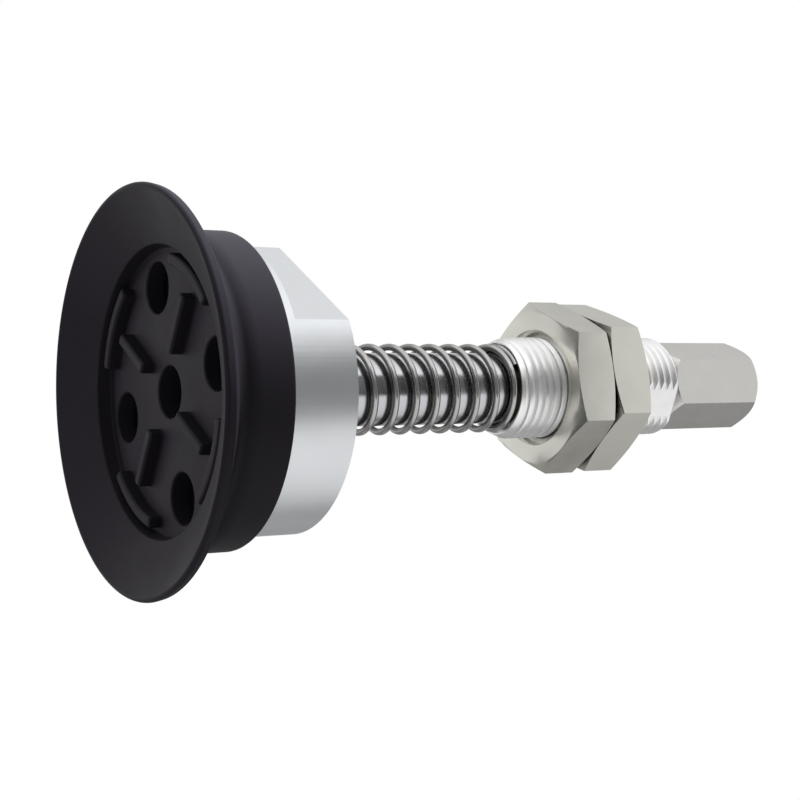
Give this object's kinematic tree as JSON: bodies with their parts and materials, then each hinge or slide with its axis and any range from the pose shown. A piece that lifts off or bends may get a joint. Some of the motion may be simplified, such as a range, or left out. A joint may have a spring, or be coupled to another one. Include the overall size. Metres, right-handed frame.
{
  "type": "suction cup level compensator",
  "caption": "Vacuum cup on a spring-loaded hollow rod that slides and turns in a threaded sleeve with hex mounting nuts; a hex adapter at the back takes the vacuum line.",
  "frame": {"origin": "centre of the circle that the suction lip's edge stands on", "axes": "+Z along the rod, from the lip through the spring and the threaded sleeve to the vacuum port; X and Y pass through the screws in the cup's floor"},
  "size_m": [0.0654, 0.0654, 0.1263],
  "materials": {
    "cup_rubber": "satin black moulded nitrile rubber",
    "seal_rubber": "plain black rubber",
    "plate_steel": "plain rolled steel",
    "screw_steel": "blackened steel",
    "adapter_aluminium": "fine-turned, clear anodised",
    "rod_chrome": "ground and polished",
    "spring_steel": "bright drawn wire",
    "sleeve_zinc": "bright zinc plate",
    "bush_bronze": "sintered bronze",
    "nut_nickel": "satin nickel plate",
    "damper_plastic": "matt black",
    "port_nickel": "satin nickel plate"
  },
  "bodies": {
    "sleeve": {"threaded_sleeve": "sleeve_zinc", "front_bush": "bush_bronze", "rear_bush": "bush_bronze"},
    "spring": {"compression_spring": "spring_steel"},
    "plunger": {"suction_cup": "cup_rubber", "core_plate": "plate_steel", "cup_screws": "screw_steel", "cup_adapter": "adapter_aluminium", "face_o_ring": "seal_rubber", "rod_o_ring": "seal_rubber", "piston_rod": "rod_chrome", "stop_washer": "damper_plastic", "port_adapter": "port_nickel", "port_o_ring": "seal_rubber"},
    "front_nut": {"front_nut": "nut_nickel"},
    "rear_nut": {"rear_nut": "nut_nickel"}
  },
  "joints": [
    {"name": "rod_turn", "type": "hinge", "parent": "sleeve", "child": "spring", "pos_m": [0, 0, 0.07], "axis": [0, 0, 1], "continuous": true},
    {"name": "compensator_slide", "type": "slide", "parent": "spring", "child": "plunger", "axis": [0, 0, 1], "range_m": [0, 0.025], "stiffness_N_per_m": 700, "springref_m": -0.004, "deforming": ["compression_spring"]},
    {"name": "front_nut_travel", "type": "slide", "parent": "sleeve", "child": "front_nut", "axis": [0, 0, 1], "range_m": [-0.006, 0]},
    {"name": "rear_nut_travel", "type": "slide", "parent": "sleeve", "child": "rear_nut", "axis": [0, 0, 1], "range_m": [0, 0.009]}
  ]
}
